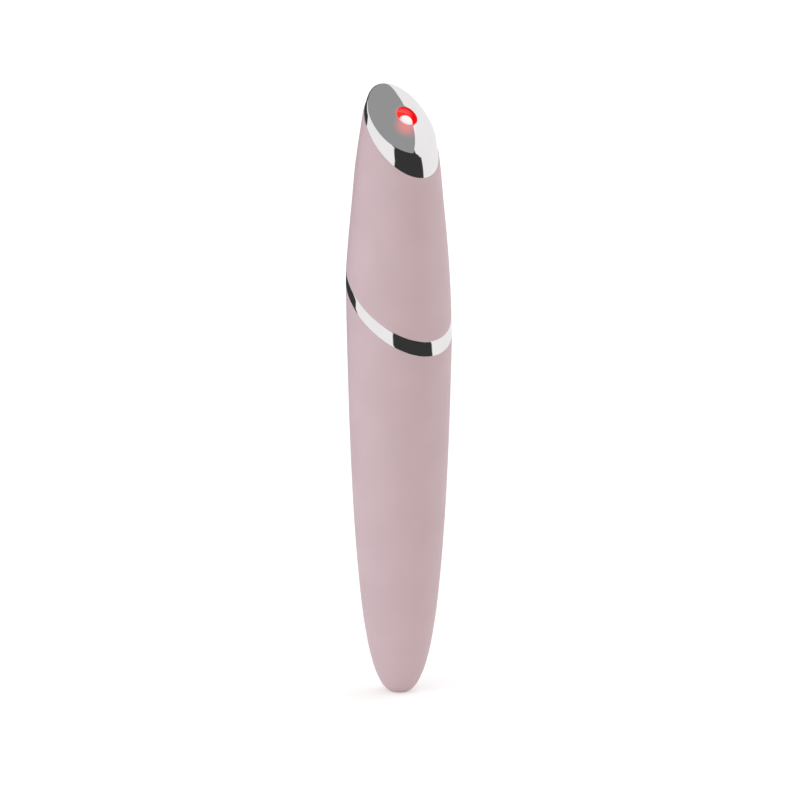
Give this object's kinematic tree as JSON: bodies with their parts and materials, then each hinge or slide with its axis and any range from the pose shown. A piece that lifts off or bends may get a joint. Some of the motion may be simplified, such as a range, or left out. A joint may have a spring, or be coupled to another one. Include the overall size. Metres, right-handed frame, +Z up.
{
  "type": "heated eye massager wand",
  "caption": "Slim tapered massager wand with a slanted, crowned metal face, a small light hole in it, a slanted trim ring and a power button on its back.",
  "frame": {"origin": "centre of the small flat at the tip, on the lower casing's axis", "axes": "+Z up along the wand from the tip to the massage head; -Y is the side that the massage face and both slants look towards; the button and the charging port are on +Y"},
  "size_m": [0.0222, 0.0221, 0.1288],
  "materials": {
    "casing_pink": "soft-touch matt, pale dusty pink",
    "trim_chrome": "polished plating",
    "head_chrome": "polished plating on metal",
    "lens_clear": "clear, lit from below",
    "button_pink": "matt, same colour as the casing",
    "frame_white": "moulded, unpainted",
    "cell_sleeve": "shrink sleeve",
    "tab_nickel": "bright nickel strip",
    "board_green": "solder mask",
    "chip_black": "moulded packages",
    "screw_steel": "plain",
    "switch_black": "moulded",
    "plunger_ivory": "moulded",
    "socket_steel": "drawn shell",
    "tongue_black": "moulded",
    "motor_steel": "drawn can and ground shaft",
    "motor_plastic": "moulded",
    "bush_bronze": "sintered",
    "magnet_grey": "sintered magnet",
    "brush_copper": "spring strip",
    "core_steel": "stacked sheet",
    "winding_copper": "enamelled wire",
    "commutator_copper": "turned",
    "weight_metal": "sintered",
    "film_amber": "film with etched tracks",
    "pad_foam": "closed-cell foam",
    "sensor_black": "epoxy bead",
    "light_board_white": "white solder mask",
    "light_red": "lit red",
    "lead_red": "wire insulation",
    "lead_black": "wire insulation",
    "lead_blue": "wire insulation",
    "lead_white": "wire insulation"
  },
  "bodies": {
    "body": {"lower_casing": "casing_pink", "upper_casing": "casing_pink", "trim_ring": "trim_chrome", "massage_head": "head_chrome", "light_lens": "lens_clear", "inner_frame": "frame_white", "battery_cell": "cell_sleeve", "battery_tabs": "tab_nickel", "main_board": "board_green", "board_chips": "chip_black", "board_screws": "screw_steel", "switch_body": "switch_black", "port_socket": "socket_steel", "port_tongue": "tongue_black", "charge_board": "board_green", "charge_chips": "chip_black", "motor_can": "motor_steel", "motor_endcap": "motor_plastic", "motor_bushes": "bush_bronze", "motor_magnet": "magnet_grey", "motor_brushes": "brush_copper", "heater_film": "film_amber", "insulation_pad": "pad_foam", "temperature_sensor": "sensor_black", "light_board": "light_board_white", "red_light": "light_red", "battery_leads": "lead_red", "charge_leads": "lead_black", "motor_leads": "lead_blue", "head_leads": "lead_white"},
    "button": {"power_button": "button_pink"},
    "plunger": {"switch_plunger": "plunger_ivory"},
    "rotor": {"motor_shaft": "motor_steel", "motor_core": "core_steel", "motor_windings": "winding_copper", "motor_commutator": "commutator_copper", "motor_weight": "weight_metal"}
  },
  "joints": [
    {"name": "button_press", "type": "slide", "parent": "body", "child": "button", "axis": [0, -1, 0], "range_m": [0, 0.00025], "stiffness_N_per_m": 300, "springref_m": -0.002},
    {"name": "plunger_press", "type": "slide", "parent": "body", "child": "plunger", "axis": [0, -1, 0], "range_m": [0, 0.00025]},
    {"name": "motor_spin", "type": "hinge", "parent": "body", "child": "rotor", "pos_m": [0, 0.0006, 0.1], "axis": [0, 0, 1], "continuous": true}
  ],
  "couplings": [
    {"joint": "plunger_press", "follows": "button_press", "ratio": 1}
  ]
}
